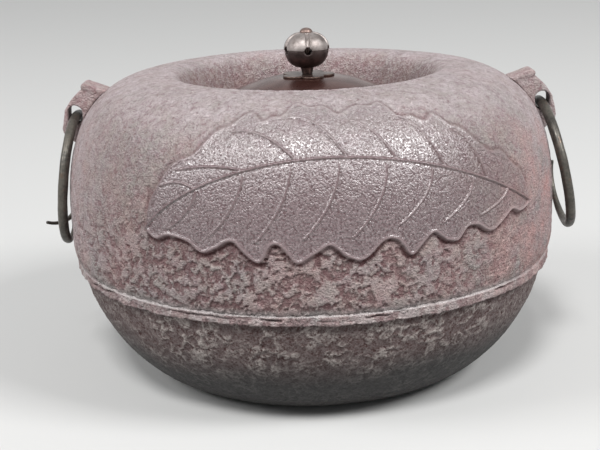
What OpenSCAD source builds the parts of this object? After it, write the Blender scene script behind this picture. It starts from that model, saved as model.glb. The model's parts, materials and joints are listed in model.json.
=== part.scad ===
// Cast-iron tea kettle with a replaced bottom, two carrying rings and a domed bronze lid.
// Millimetres, +Z up, origin at the middle of the flat bottom, front towards -Y.

/* [Body] */
// Diameter of the body at the belly
body_d = 260; // [230:1:300]
// Height of the belly, where the side starts to round in
belly_z = 88; // [80:1:100]
// Diameter of the crest, the highest line of the shoulder
crest_d = 149; // [142:1:160]
// Height of the crest
crest_z = 160.4; // [152:0.2:180]
// Fullness of the shoulder: 2 is round and more is squarer
shoulder_n = 2.6; // [2:0.1:3.2]
// Thickness of the cast walls
wall = 5.2; // [4:0.1:6]

/* [Mouth] */
// Diameter at the foot of the rolled-in mouth
well_d = 125.6; // [118:0.2:130]
// Depth from the crest to the foot of the rolled-in mouth
well_depth = 18.2; // [14:0.2:24]
// Depth from there to the ledge that the lid rests on
seat_depth = 4.8; // [3:0.2:8]
// Width of the ledge
ledge_w = 10; // [6:0.5:14]
// Thickness of the ledge
ledge_t = 6; // [4:0.5:9]

/* [Joint of the two castings] */
// How far the broken brim stands out from the neck above it
brim_out = 1.2; // [0.4:0.1:3]
// Height of the brim's underside
brim_z = 60.6; // [54:0.2:70]
// Thickness of the brim
brim_h = 5; // [2:0.1:6]
// Depth of the neck between brim and belly
neck_depth = 3.2; // [1:0.1:3.4]
// Height over which the side turns in to the neck
neck_h = 10; // [5:0.5:16]
// Chips broken out of the brim
chip_count = 17; // [0:1:24]
// Depth of the deepest chip
chip_depth = 1.1; // [0.4:0.1:1.1]
// Height of the lap between the castings
lap_h = 9; // [5:0.5:14]
// Thickness of the lacquer in the lap
lacquer_t = 1; // [0.5:0.1:2]
// Size of the lacquer fillet inside
fillet_h = 3; // [1:0.5:4]

/* [Bowl] */
// How far the bowl's skin stands out from the lap, under the brim
bowl_out = 0.5; // [0.2:0.1:1]
// Diameter of the flat bottom
foot_d = 154.8; // [130:0.2:180]
// Fullness of the bowl: 2 is round and less is more tapered
bowl_n = 1.58; // [1.3:0.02:2.2]
// Thickness of the bottom
floor_t = 5.2; // [4:0.1:8]

/* [Ears] */
// Height of the axis on which the rings swing
pivot_z = 138.6; // [130:0.2:144]
// Distance from the shoulder to that axis
pivot_out = 4.3; // [3.8:0.1:7]
// Width of an ear, front to back
ear_w = 13.5; // [10:0.5:20]
// Wall of the ear outside its bore
ear_wall = 1.6; // [1.5:0.1:3]
// Height of the ear's roof above the axis
roof_up = 18.2; // [17:0.2:22]
// Width of the roof, front to back
roof_w = 14.5; // [12:0.5:20]
// Thickness of the roof
roof_t = 2.4; // [2:0.1:4]
// Length of the roof from its edge towards the lid
roof_l = 13.5; // [10:0.5:18]
// Distance of the roof's edge inside the axis
roof_in = 5.2; // [4.6:0.1:5.8]
// Length of the ear below the axis
ear_drop = 14; // [12:0.5:18]
// Room for the ring's wire in the bore
bore_play = 0.8; // [0.8:0.1:1.4]
// Extra height of the bore
bore_rise = 2.4; // [0:0.1:3]

/* [Rings] */
// Outer diameter of a ring
ring_d = 74; // [64:0.5:90]
// Diameter of its wire
wire_d = 5.2; // [4:0.1:6]
// Diameter of the drawn-out tips
tip_d = 1.8; // [1.2:0.1:3]
// Gap between a hanging ring and the belly
ring_gap = 0.9; // [0.6:0.1:3]
// How far the right ring stands out from the belly, in degrees
right_swing_angle = 5.6; // [0:0.1:20]
// How far the left ring's tip hooks outwards
left_hook = 15; // [6:0.5:20]
// How far the right ring's tip hooks outwards
right_hook = 4; // [0:0.5:8]
// Length of a ring's long drawn-out end, in degrees of its round
long_tail = 90; // [60:1:95]
// Length of its short drawn-out end
short_tail = 37; // [20:1:40]
// Where the left ring's round wire starts, in degrees from the back over the top
left_start_angle = 10; // [5:1:20]
// Where the left ring's round wire finishes
left_end_angle = 240; // [230:1:245]
// Where the right ring's round wire starts
right_start_angle = 50; // [45:1:60]
// Where the right ring's round wire finishes
right_end_angle = 255; // [240:1:260]

/* [Lid] */
// Diameter of the lid
lid_d = 112; // [104:0.5:116]
// Thickness of the lid
lid_t = 2.2; // [1.5:0.1:4]
// Radius of the lid's dome
dome_r = 98.4; // [85:0.2:130]
// Gap round the lid's edge
lid_gap = 0.8; // [0.4:0.1:2]
// Gap under the lid's edge
lid_rest = 0.3; // [0.2:0.1:0.6]

/* [Knob] */
// Diameter of the knob
knob_d = 24.4; // [20:0.2:30]
// Height of the knob's neck
neck_up = 3.7; // [2:0.1:6]
// Diameter of the neck where it stands on its seat
neck_d = 5.4; // [4.8:0.1:7]
// Height of the knob's lower half
cup_h = 9.4; // [7:0.1:12]
// Lobes of the knob's upper half
lobe_count = 5; // [4:1:8]
// Height of the lobes
lobe_r = 9; // [8:0.1:9.4]
// Radius of the grooves between the lobes
groove_r = 1.2; // [0.8:0.1:2]
// Depth of the grooves
groove_depth = 1; // [0.5:0.1:1.4]
// Radius of the hollow inside the knob
hollow_r = 5.2; // [4:0.1:5.4]
// Diameter of the small holes along the seam
hole_d = 4; // [2:0.1:4.6]
// Radius of the petal-shaped seat
seat_r = 14.6; // [11:0.2:17]
// Thickness of the seat
seat_t = 1.2; // [0.8:0.1:2]
// Diameter of the rivet
rivet_d = 3; // [2.4:0.1:3.4]
// Height of the nub that the rivet's end makes on top
nub_h = 2.4; // [1.6:0.1:4]
// Diameter of the washer under the lid
washer_d = 12; // [9:0.5:16]
// Thickness of that washer
washer_t = 1; // [0.6:0.1:2]

/* [Sounding plates] */
// Length of a plate
plate_l = 26; // [18:0.5:32]
// Width of a plate
plate_w = 18; // [12:0.5:22]
// Thickness of a plate
plate_t = 2.4; // [1.5:0.1:4]
// Radius of the circle of plates
plates_r = 42; // [34:0.5:50]
// Thickness of the lacquer under a plate
pad_t = 0.8; // [0.4:0.1:2]
// How far a plate overhangs its lacquer
pad_in = 3; // [1:0.5:5]

/* [Hidden] */
$fn = 96;
PLATES = 5;
arc_steps = 24;
slack = 1;

// Body
body_r = body_d / 2;
crest_r = crest_d / 2;
inner_r = body_r - wall;
neck_r = body_r - neck_depth;
brim_r = neck_r + brim_out;
brim_top = brim_z + brim_h;
brim_slope = brim_h / 6;
chip_r = 5;
chip_r_spread = 3;
chip_turn_spread = 7;
chip_even = 0.6;
throat_n = 1.2;

// Mouth and lid
lid_r = lid_d / 2;
well_r = well_d / 2;
well_z = crest_z - well_depth;
ledge_z = well_z - seat_depth;
rabbet_r = lid_r + lid_gap;
rabbet_z = well_z - seat_depth / 3;
throat_r = rabbet_r - ledge_w;
throat_z = ledge_z - ledge_t;
rim_z = ledge_z + lid_rest + lid_t;
dome_z = rim_z - sqrt(dome_r ^ 2 - lid_r ^ 2);
land_r = seat_r + slack;
land_z = dome_z + sqrt(dome_r ^ 2 - land_r ^ 2);

// Lap between the castings
lap_r = inner_r - lacquer_t;
lap_z = brim_z + lap_h;
bowl_r = inner_r + bowl_out;
foot_r = foot_d / 2;
bowl_inner_r = lap_r - wall;
floor_r = foot_r - wall;

// Rings and ears
wire_r = wire_d / 2;
ring_r = ring_d / 2 - wire_r;
steepness = (shoulder_r(pivot_z - slack) - shoulder_r(pivot_z + slack)) / (2 * slack);
pivot_r = shoulder_r(pivot_z) + pivot_out * sqrt(1 + steepness ^ 2);
sag = ring_r - sqrt(ring_r ^ 2 - (ear_w / 2) ^ 2);
bore_r = wire_r + sag + bore_play;
bore_top = bore_rise + bore_r;
ear_out = bore_r + ear_wall;
roof_back = -roof_in - roof_l;
roof_fall = roof_l / 3;
brow_x = ear_out / 4;
brow_z = bore_top + ear_wall * 2;
bulge_x = ear_out + ear_wall;
bulge_z = -ear_drop * 0.44;
chin_x = bulge_x - ear_wall / 4;
chin_z = -ear_drop * 0.6;
rest_lean = max([for (i = [2:arc_steps]) lean_at(i * 2 * ring_r / arc_steps)]);
left_lean = rest_lean;
right_lean = rest_lean + right_swing_angle;
tail_steps = 20;
tail_sides = 10;
tail_root = 4;
root_r = wire_r * 0.97;
curl_n = 6;
hook_n = 4;

// Knob, from the lid upwards
seat_z = land_z + seat_t;
cup_z = seat_z + neck_up;
seam_z = cup_z + cup_h;
knob_r = knob_d / 2;
lobe_out = knob_r - lobe_r;
rivet_r = rivet_d / 2;
nub_r = rivet_d * 1.15;
crown_turn = acos((nub_r - lobe_out) / lobe_r);
dimple_z = seam_z + lobe_r * sin(crown_turn);
seam_step = 0.4;
cup_r = knob_r - seam_step;
neck_flare = 0.9;
neck_top_r = neck_d / 2 + neck_flare;
groove_turn = 88;
petal_r = seat_r * 0.42;
petals_in_r = seat_r * 0.62;
rivet_head_r = rivet_d;
rivet_flat_r = rivet_d * 0.7;
washer_z = land_z - lid_t - washer_t;
knob_turn = 4;

// Sounding plates
plates_turn = 18;
plate_twist = 12;

// Uneven value from -1 to 1 for the chip or plate i, in one of a few kinds
scatter_steps = [131, 77, 205, 150];
function scatter(i, kind) = sin(i * scatter_steps[kind]);

// Radius of the outer skin above the belly at height z
function shoulder_r(z) =
    let (u = max(0, (z - belly_z) / (crest_z - belly_z)))
    crest_r + (body_r - crest_r) * pow(1 - pow(u, shoulder_n), 1 / shoulder_n);

// Quarter of a rounded square from a point out to the side, a, up to a point on top, b
function quarter(a, b, n) = [
    for (i = [0:arc_steps])
    let (t = 90 * i / arc_steps, c = pow(cos(t), 2 / n), s = pow(sin(t), 2 / n))
    [b.x + (a.x - b.x) * c, a.y + (b.y - a.y) * s]
];

function backwards(list) = [for (i = [len(list) - 1:-1:0]) list[i]];

// Lean at which a hanging ring clears the body, s below the pivot
function lean_at(s) =
    let (
        half = sqrt(max(0, ring_r ^ 2 - (ring_r - s) ^ 2)),
        skin = sqrt(shoulder_r(pivot_z - s) ^ 2 - half ^ 2)
    )
    asin((skin + wire_r + ring_gap - pivot_r) / s);

// Outer line of the upper casting, from the neck over the crest to the lid's ledge
function upper_line() = concat(
    backwards(quarter([body_r, brim_top + neck_h], [neck_r, brim_top], 2)),
    quarter([body_r, belly_z], [crest_r, crest_z], shoulder_n),
    backwards(quarter([well_r, well_z], [crest_r, crest_z], 2)),
    [[rabbet_r, rabbet_z], [rabbet_r, ledge_z], [throat_r, ledge_z]]
);

// Inner line of the upper casting, from the ledge's underside back down to the lap
function upper_inside() = concat(
    [[throat_r, throat_z]],
    quarter([well_r - wall, throat_z], [well_r + wall, well_z], throat_n),
    quarter([well_r + wall, well_z], [crest_r, crest_z - wall], 2),
    backwards(quarter([inner_r, belly_z], [crest_r, crest_z - wall], shoulder_n)),
    [[inner_r, brim_z]]
);

module upper_body() {
    color("#83716f")
    difference() {
        rotate_extrude()
        polygon(concat(
            [[brim_r, brim_z], [brim_r, brim_top - brim_slope]],
            upper_line(),
            upper_inside()
        ));
        for (i = [1:1:chip_count]) {
            size = chip_r + chip_r_spread * scatter(i, 0);
            depth = chip_depth * (chip_even + (1 - chip_even) * scatter(i, 1));
            rotate(i * 360 / chip_count + chip_turn_spread * scatter(i, 2))
            translate([brim_r + size - depth, 0, brim_z - slack])
            cylinder(r = size, h = brim_h + slack);
        }
    }
}

// Outside of the closed body, to fit the ears to it
module body_block() {
    rotate_extrude()
    polygon(concat(
        [[0, brim_top], [neck_r, brim_top]],
        backwards(quarter([body_r, brim_top + neck_h], [neck_r, brim_top], 2)),
        quarter([body_r, belly_z], [crest_r, crest_z], shoulder_n),
        [[0, crest_z]]
    ));
}

module lower_body() {
    color("#5a5352")
    rotate_extrude()
    polygon(concat(
        [[0, 0]],
        backwards(quarter([bowl_r, brim_z], [foot_r, 0], bowl_n)),
        [[lap_r, brim_z], [lap_r, lap_z], [bowl_inner_r, lap_z]],
        quarter([bowl_inner_r, brim_z], [floor_r, floor_t], bowl_n),
        [[0, floor_t]]
    ));
}

module seam_lacquer() {
    color("#2b2423")
    rotate_extrude()
    polygon([
        [lap_r, brim_z], [inner_r, brim_z], [inner_r, lap_z + fillet_h],
        [lap_r - fillet_h / 2, lap_z], [lap_r, lap_z]
    ]);
}

// Side view of an ear about its pivot, x away from the body
module ear_side() {
    polygon([
        [roof_back, roof_up - roof_fall - roof_t],
        [-roof_in, roof_up - roof_t],
        [brow_x, brow_z],
        [ear_out - ear_wall / 4, bore_rise + ear_wall],
        [bulge_x, bulge_z],
        [chin_x, chin_z],
        [ear_wall / 2, -ear_drop],
        [-ear_drop, -ear_drop / 2]
    ]);
}

module roof_side() {
    polygon([
        [roof_back, roof_up - roof_fall - roof_t],
        [roof_back, roof_up - roof_fall],
        [-roof_in - roof_t / 2, roof_up],
        [-roof_in + roof_t / 4, roof_up - roof_t / 4],
        [-roof_in + roof_t / 2, roof_up - roof_t]
    ]);
}

module bore_side() {
    circle(r = bore_r);
    translate([0, bore_rise])
    circle(r = bore_r);
    translate([-bore_r, 0])
    square([2 * bore_r, bore_rise]);
}

// Turns a side view into a solid of width w across the ear on the right
module across(w) {
    translate([pivot_r, w / 2, pivot_z])
    rotate([90, 0, 0])
    linear_extrude(w)
    children();
}

module ear() {
    color("#7d6562")
    difference() {
        union() {
            across(ear_w)
            ear_side();
            across(roof_w)
            roof_side();
        }
        across(roof_w + 2 * slack)
        bore_side();
        body_block();
    }
}

module ear_right() {
    ear();
}

module ear_left() {
    mirror([1, 0, 0])
    ear();
}

// Drawn-out end of a ring, from angle a0 to a1, whose tip turns in and leaves the ring's plane by out
function tail_line(a0, a1, out) = [
    for (i = [0:tail_steps])
    let (u = i / tail_steps, a = a0 + (a1 - a0) * u, r = ring_r - wire_d * pow(u, curl_n))
    [r * cos(a), r * sin(a), out * pow(u, hook_n)]
];

// Round tapering rod along the points of line
module drawn_end(line) {
    last = len(line) - 1;
    rings = [
        for (i = [0:last])
        let (
            way = line[min(i + 1, last)] - line[max(i - 1, 0)],
            side = cross(way, [0, 0, 1]) / norm(cross(way, [0, 0, 1])),
            up = cross(side, way) / norm(way),
            r = root_r + (tip_d / 2 - root_r) * i / last
        )
        for (k = [0:tail_sides - 1])
        let (a = k * 360 / tail_sides)
        line[i] + r * (cos(a) * side + sin(a) * up)
    ];
    walls = [
        for (i = [0:last - 1], k = [0:tail_sides - 1])
        let (a = i * tail_sides, b = a + tail_sides, n = (k + 1) % tail_sides)
        for (face = [[a + k, b + n, b + k], [a + k, a + n, b + n]])
        face
    ];
    first_cap = [for (k = [tail_sides - 1:-1:0]) k];
    last_cap = [for (k = [0:tail_sides - 1]) last * tail_sides + k];
    polyhedron(rings, concat([first_cap], walls, [last_cap]));
}

// Ring hanging in the right ear. Angles run from the back over the top to the front.
// Its round wire ends at start and finish, and drawn-out ends carry on from there.
module ring(lean, start, start_tail, finish, finish_tail, start_hook, finish_hook) {
    color("#4a4540")
    translate([pivot_r, 0, pivot_z])
    rotate([0, -lean, 0])
    translate([0, 0, -ring_r])
    rotate([90, 0, 90]) {
        rotate(start)
        rotate_extrude(angle = finish - start)
        translate([ring_r, 0])
        circle(r = wire_r);
        drawn_end(tail_line(start + tail_root, start - start_tail, start_hook));
        drawn_end(tail_line(finish - tail_root, finish + finish_tail, finish_hook));
    }
}

module ring_right() {
    ring(right_lean, right_start_angle, short_tail, right_end_angle, long_tail, 0, right_hook);
}

module ring_left() {
    mirror([1, 0, 0])
    ring(left_lean, left_start_angle, long_tail, left_end_angle, short_tail, left_hook, 0);
}

// Arc of the lid's dome at depth below its outer face
function dome_line(depth) = [
    for (i = [0:arc_steps])
    let (r = land_r + (lid_r - land_r) * i / arc_steps)
    [r, dome_z + sqrt(dome_r ^ 2 - r ^ 2) - depth]
];

module lid_plate() {
    color("#4c2f2a")
    rotate_extrude()
    polygon(concat(
        [[rivet_r, land_z - lid_t], [rivet_r, land_z]],
        dome_line(0),
        backwards(dome_line(lid_t))
    ));
}

module knob_seat() {
    color("#55423a")
    translate([0, 0, land_z])
    linear_extrude(seat_t)
    difference() {
        union() {
            circle(r = petals_in_r);
            for (i = [0:lobe_count - 1])
            rotate(i * 360 / lobe_count)
            translate([seat_r - petal_r, 0])
            circle(r = petal_r);
        }
        circle(r = rivet_r);
    }
}

// Small holes along the knob's seam, one in each groove
module seam_holes() {
    for (i = [0:lobe_count - 1])
    rotate(knob_turn - 90 + i * 360 / lobe_count)
    translate([hollow_r - slack, 0, seam_z])
    rotate([0, 90, 0])
    cylinder(d = hole_d, h = knob_r);
}

module knob_cup() {
    color("#5d5149")
    difference() {
        rotate_extrude()
        polygon(concat(
            [[rivet_r, seat_z], [neck_d / 2, seat_z], [neck_top_r, cup_z]],
            backwards(quarter([cup_r, seam_z], [neck_top_r, cup_z], 2)),
            [[rivet_r, seam_z]]
        ));
        translate([0, 0, seam_z])
        sphere(r = hollow_r);
        seam_holes();
    }
}

// Grooves that part the lobes of the crown
module grooves() {
    for (i = [0:lobe_count - 1])
    rotate(knob_turn - 90 + i * 360 / lobe_count)
    translate([lobe_out, 0, seam_z])
    rotate([90, -slack, 0])
    rotate_extrude(angle = groove_turn)
    translate([lobe_r + groove_r - groove_depth, 0])
    circle(r = groove_r);
}

module knob_crown() {
    color("#6b5f57")
    difference() {
        rotate_extrude()
        polygon(concat(
            [
                for (i = [0:arc_steps])
                let (t = crown_turn * i / arc_steps)
                [lobe_out + lobe_r * cos(t), seam_z + lobe_r * sin(t)]
            ],
            [[rivet_r, dimple_z], [rivet_r, seam_z]]
        ));
        grooves();
        translate([0, 0, seam_z])
        sphere(r = hollow_r);
        seam_holes();
    }
}

module knob_rivet() {
    color("#8a4a34")
    rotate_extrude()
    polygon(concat(
        [[0, washer_z - rivet_r], [rivet_flat_r, washer_z - rivet_r]],
        [[rivet_head_r, washer_z - rivet_r / 2], [rivet_head_r, washer_z], [rivet_r, washer_z]],
        [[rivet_r, dimple_z]],
        quarter([nub_r, dimple_z], [0, dimple_z + nub_h], 2)
    ));
}

module rivet_washer() {
    color("#6a5038")
    translate([0, 0, washer_z])
    linear_extrude(washer_t)
    difference() {
        circle(d = washer_d);
        circle(r = rivet_r);
    }
}

// Puts a flat piece at the place of sounding plate i, z above the bottom
module at_plate(i, z) {
    rotate(i * 360 / PLATES + plates_turn)
    translate([plates_r, 0, floor_t + z])
    rotate(plate_twist * scatter(i, 3))
    children();
}

module sounding_plate(i) {
    color("#4d4744")
    at_plate(i, pad_t)
    translate([-plate_w / 2, -plate_l / 2, 0])
    cube([plate_w, plate_l, plate_t]);
}

module plate_lacquer(i) {
    color("#2b2423")
    at_plate(i, 0)
    translate([pad_in - plate_w / 2, pad_in - plate_l / 2, 0])
    cube([plate_w - 2 * pad_in, plate_l - 2 * pad_in, pad_t]);
}

upper_body();
lower_body();
seam_lacquer();
ear_left();
ear_right();
ring_left();
ring_right();
lid_plate();
knob_seat();
knob_cup();
knob_crown();
knob_rivet();
rivet_washer();
for (i = [1:PLATES]) {
    sounding_plate(i);
    plate_lacquer(i);
}
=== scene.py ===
import json
import math

import bmesh
import bpy
import numpy as np
from mathutils import Matrix, Vector


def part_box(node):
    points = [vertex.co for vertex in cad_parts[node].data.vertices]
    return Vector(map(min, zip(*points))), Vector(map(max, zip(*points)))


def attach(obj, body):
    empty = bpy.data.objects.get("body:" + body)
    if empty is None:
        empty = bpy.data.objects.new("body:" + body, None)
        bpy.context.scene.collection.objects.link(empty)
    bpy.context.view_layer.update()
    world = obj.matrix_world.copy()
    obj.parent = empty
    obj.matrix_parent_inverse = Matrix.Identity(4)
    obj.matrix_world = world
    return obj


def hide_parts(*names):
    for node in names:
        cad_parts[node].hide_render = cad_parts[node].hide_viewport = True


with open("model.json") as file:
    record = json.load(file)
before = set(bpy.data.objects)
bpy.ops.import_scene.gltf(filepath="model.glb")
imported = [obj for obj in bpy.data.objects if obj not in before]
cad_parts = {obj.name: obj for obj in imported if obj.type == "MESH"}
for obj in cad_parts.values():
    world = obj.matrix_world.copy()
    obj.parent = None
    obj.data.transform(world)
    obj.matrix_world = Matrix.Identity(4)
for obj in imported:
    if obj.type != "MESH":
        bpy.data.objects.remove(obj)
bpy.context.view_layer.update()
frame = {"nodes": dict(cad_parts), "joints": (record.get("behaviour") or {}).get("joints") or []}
scene = bpy.context.scene
mm = 0.001  # shapes are worked out in millimetres and stored in metres
print("frame loaded:", len(frame["nodes"]), "nodes")


def corners(node):
    low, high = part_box(node)
    return np.array(low) / mm, np.array(high) / mm


def jointPlace(name):
    for joint in frame["joints"]:
        if joint["name"] == name:
            return np.array(joint["pos_m"]) / mm


# camera at the place the photo was taken from
photoView = {
    "distance": 642.0,  # mm in front of the kettle's axis
    "height": 251.7,
    "pitch": 15.54,  # degrees
    "yaw": -0.59,
    "roll": -1.9,
    "focal": 1200.0,  # pixels
    "frameWidth": 600.0,
    "sensor": 36.0,
}


def addCamera():
    pitch, yaw, roll = (math.radians(photoView[key]) for key in ("pitch", "yaw", "roll"))
    ahead = Vector((math.sin(yaw) * math.cos(pitch), math.cos(yaw) * math.cos(pitch), -math.sin(pitch)))
    level = ahead.cross(Vector((0, 0, 1))).normalized()
    upright = level.cross(ahead)
    across = level * math.cos(roll) + upright * math.sin(roll)
    up = upright * math.cos(roll) - level * math.sin(roll)
    data = bpy.data.cameras.new("photoCamera")
    data.sensor_width = photoView["sensor"]
    data.lens = photoView["focal"] / photoView["frameWidth"] * photoView["sensor"]
    camera = bpy.data.objects.new("photoCamera", data)
    turn = Matrix((across, up, -ahead)).transposed().to_4x4()
    place = Vector((0, -photoView["distance"], photoView["height"])) * mm
    camera.matrix_world = Matrix.Translation(place) @ turn
    scene.collection.objects.link(camera)
    scene.camera = camera


addCamera()
scene.view_settings.view_transform = "Standard"
print("camera set")


# shaping helpers
axisR = 0.01  # mm, keeps the points at the axis apart


def grain(points, size, seed):
    # smooth noise from -1 to 1 with lumps of about size mm
    place = points / size + seed * 13.7
    cell = np.floor(place).astype(np.int64)
    part = place - cell
    soft = part ** 3 * (part * (part * 6 - 15) + 10)
    total = np.zeros(len(points))
    for corner in range(8):
        step = np.array([corner & 1, corner >> 1 & 1, corner >> 2 & 1])
        at = cell + step
        # scrambled number of the cell's corner
        mixed = at[:, 0] * 73856093 ^ at[:, 1] * 19349663 ^ at[:, 2] * 83492791 ^ seed * 961748927
        mixed = ((mixed ^ (mixed >> 13)) * 1274126177) & 0x7FFFFFFF
        mixed = ((mixed ^ (mixed >> 15)) * 668265263) & 0x7FFFFFFF
        weight = np.prod(np.where(step, soft, 1 - soft), axis=1)
        total += (mixed / 0x3FFFFFFF - 1) * weight
    return total


def twoGrains(points, sizes, share, seeds):
    # lumps of two sizes, the finer ones by that share
    return grain(points, sizes[0], seeds[0]) + share * grain(points, sizes[1], seeds[1])


def warped(points, size, reach, seed):
    # points drawn aside at random, which makes the noise taken there ragged
    return points + reach * np.stack([grain(points, size, seed + k) for k in range(3)], 1)


def smoothStep(low, high, value):
    t = np.clip((value - low) / (high - low), 0, 1)
    return t * t * (3 - 2 * t)


def bell(value, centre, width):
    return np.exp(-((value - centre) / width) ** 2)


def quarter(side, top, fullness):
    # quarter of a rounded square from a point at its side to a point on top
    t = np.linspace(0, math.pi / 2, 240)
    c = np.clip(np.cos(t), 0, 1) ** (2 / fullness)
    s = np.sin(t) ** (2 / fullness)
    return np.stack([top[0] + (side[0] - top[0]) * c, side[1] + (top[1] - side[1]) * s], 1)


def evenly(line, step):
    # the same line with its points about step mm apart
    line = np.array(line, float)
    along = np.r_[0, np.cumsum(np.hypot(*np.diff(line, axis=0).T))]
    at = np.linspace(0, along[-1], max(2, round(along[-1] / step) + 1))
    return np.stack([np.interp(at, along, line[:, k]) for k in (0, 1)], 1)


def addPiece(name, points, faces, body, material, stands):
    # points in mm, faces as an array of quads
    mesh = bpy.data.meshes.new(name)
    mesh.vertices.add(len(points))
    mesh.vertices.foreach_set("co", (points * mm).astype(np.float32).ravel())
    mesh.loops.add(faces.size)
    mesh.loops.foreach_set("vertex_index", faces.astype(np.int32).ravel())
    mesh.polygons.add(len(faces))
    mesh.polygons.foreach_set("loop_start", np.arange(0, faces.size, faces.shape[1], dtype=np.int32))
    mesh.update(calc_edges=True)
    mesh.validate()
    mesh.shade_smooth()
    obj = bpy.data.objects.new(name, mesh)
    finishPiece(obj, body, material, stands)
    return obj


def finishPiece(obj, body, material, stands):
    scene.collection.objects.link(obj)
    obj.data.materials.clear()
    obj.data.materials.append(material)
    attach(obj, body)
    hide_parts(*stands)
    print(obj.name + ":", len(obj.data.vertices), "points")


def gridFaces(rows, cols, closed):
    # quads between rows of points that run round the axis, the last row joined to the first if closed
    i = np.arange(rows if closed else rows - 1)[:, None]
    j = np.arange(cols)[None, :]
    up = (i + 1) % rows
    on = (j + 1) % cols
    return np.stack([i * cols + j, i * cols + on, up * cols + on, up * cols + j], -1).reshape(-1, 4)


def lineNormals(line, closed):
    if closed:
        way = np.roll(line, -1, 0) - np.roll(line, 1, 0)
    else:
        way = np.gradient(line, axis=0)
    way /= np.maximum(np.hypot(way[:, 0], way[:, 1]), 1e-9)[:, None]
    return np.stack([way[:, 1], -way[:, 0]], 1)


def turned(line, angles):
    # points of a line of radius and height turned about the axis, angles from the front towards +X
    turn = np.radians(angles)
    r, z = line[:, 0][:, None], line[:, 1][:, None]
    return np.stack([r * np.sin(turn), -r * np.cos(turn), z + 0 * turn], -1).reshape(-1, 3)


def pushed(line, angles, push, closed):
    # the same with each point pushed out along the line's normal, push in mm by row and column
    outward = lineNormals(line, closed)
    turn = np.radians(angles)[None, :]
    r = line[:, 0][:, None] + push * outward[:, 0][:, None]
    z = line[:, 1][:, None] + push * outward[:, 1][:, None]
    return np.stack([r * np.sin(turn), -r * np.cos(turn), z], -1).reshape(-1, 3)


def addFields(obj, fields):
    # numbers at each point that the materials read
    for name, values in fields.items():
        stored = obj.data.attributes.new(name, "FLOAT", "POINT")
        stored.data.foreach_set("value", values.astype(np.float32).ravel())


# material helpers
def newMaterial(name):
    mat = bpy.data.materials.new(name)
    mat.use_nodes = True
    return mat, mat.node_tree, mat.node_tree.nodes["Principled BSDF"]


def plug(tree, node, inputs):
    # links what comes from another node, sets what is the same all over
    for key, value in inputs.items():
        if isinstance(value, bpy.types.NodeSocket):
            tree.links.new(value, node.inputs[key])
        else:
            node.inputs[key].default_value = value


def put(tree, kind, inputs=None, **settings):
    node = tree.nodes.new(kind)
    for key, value in settings.items():
        setattr(node, key, value)
    plug(tree, node, inputs or {})
    return node


def noise(tree, size, detail=2.0, rough=0.5, distort=0.0):
    # noise in the object's own coordinates, lumps of about size mm
    where = put(tree, "ShaderNodeTexCoord").outputs["Object"]
    return put(tree, "ShaderNodeTexNoise", {
        "Vector": where, "Scale": 1 / (size * mm),
        "Detail": detail, "Roughness": rough, "Distortion": distort,
    }).outputs["Fac"]


def field(tree, name):
    return put(tree, "ShaderNodeAttribute", attribute_name=name, attribute_type="GEOMETRY").outputs["Fac"]


def maths(tree, kind, a, b):
    return put(tree, "ShaderNodeMath", {0: a, 1: b}, operation=kind).outputs[0]


def times(tree, a, b):
    return maths(tree, "MULTIPLY", a, b)


def spread(tree, value, low, high, newLow=0.0, newHigh=1.0):
    # low to high of the value becomes newLow to newHigh
    return put(tree, "ShaderNodeMapRange", {
        "Value": value, "From Min": low, "From Max": high, "To Min": newLow, "To Max": newHigh,
    }).outputs["Result"]


def ramp(tree, value, span, first, second):
    # from the first colour to the second over that span of the value
    node = put(tree, "ShaderNodeValToRGB", {"Fac": value})
    for end, at, colour in zip(node.color_ramp.elements, span, (first, second)):
        end.position = at
        end.color = (*colour, 1)
    return node.outputs["Color"]


def blendValues(tree, share, a, b):
    return put(tree, "ShaderNodeMix", {"Factor": share, "A": a, "B": b}, data_type="FLOAT").outputs["Result"]


def blendColours(tree, share, a, b):
    a, b = (one if isinstance(one, bpy.types.NodeSocket) else (*one, 1) for one in (a, b))
    return put(tree, "ShaderNodeMix", {0: share, 6: a, 7: b}, data_type="RGBA").outputs[2]


def bump(tree, height, depth, strength=1.0, under=None):
    node = put(tree, "ShaderNodeBump", {"Height": height, "Distance": depth * mm, "Strength": strength})
    if under:
        plug(tree, node, {"Normal": under})
    return node.outputs["Normal"]


# studio: pale floor under a broad soft light from above the front, and a lamp on each side for the sheen
studio = {
    "floorColour": (0.70, 0.70, 0.69),
    "floorBounce": (0.34, 0.34, 0.34),  # what the floor throws back on the kettle
    "floorRough": 0.9,
    "floorSize": 16.0,  # metres
    "worldColour": (0.94, 0.97, 1.0, 1),
    "worldLight": 0.15,
    "backdrop": 0.75,  # how pale the world looks in a reflection
    "aim": (0, 0, 0.09),  # metres, where the lamps point
    "sky": {"from": (-0.12, -0.62, 1.0), "angle": 15.0, "strength": 1.73},
    "lamps": [
        # name, place in metres, size, power
        ("overRight", (1.45, -0.90, 1.60), 0.72, 32.0),
        ("overLeft", (-1.70, -0.62, 1.40), 0.90, 20.0),
    ],
}


def seenDirectly(tree):
    # 1 where the camera sees it, also in a reflection or through glass
    path = put(tree, "ShaderNodeLightPath")
    seen = path.outputs["Is Camera Ray"]
    for ray in ("Is Glossy Ray", "Is Transmission Ray"):
        seen = maths(tree, "MAXIMUM", seen, path.outputs[ray])
    return seen


def addFloor():
    half = studio["floorSize"] / 2
    mesh = bpy.data.meshes.new("floor")
    ends = [(-half, -half, 0), (half, -half, 0), (half, half, 0), (-half, half, 0)]
    mesh.from_pydata(ends, [], [(0, 1, 2, 3)])
    floor = bpy.data.objects.new("floor", mesh)
    scene.collection.objects.link(floor)
    mat, tree, shader = newMaterial("paleFloor")
    tone = blendColours(tree, seenDirectly(tree), studio["floorBounce"], studio["floorColour"])
    plug(tree, shader, {"Base Color": tone, "Roughness": studio["floorRough"]})
    mesh.materials.append(mat)


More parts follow.
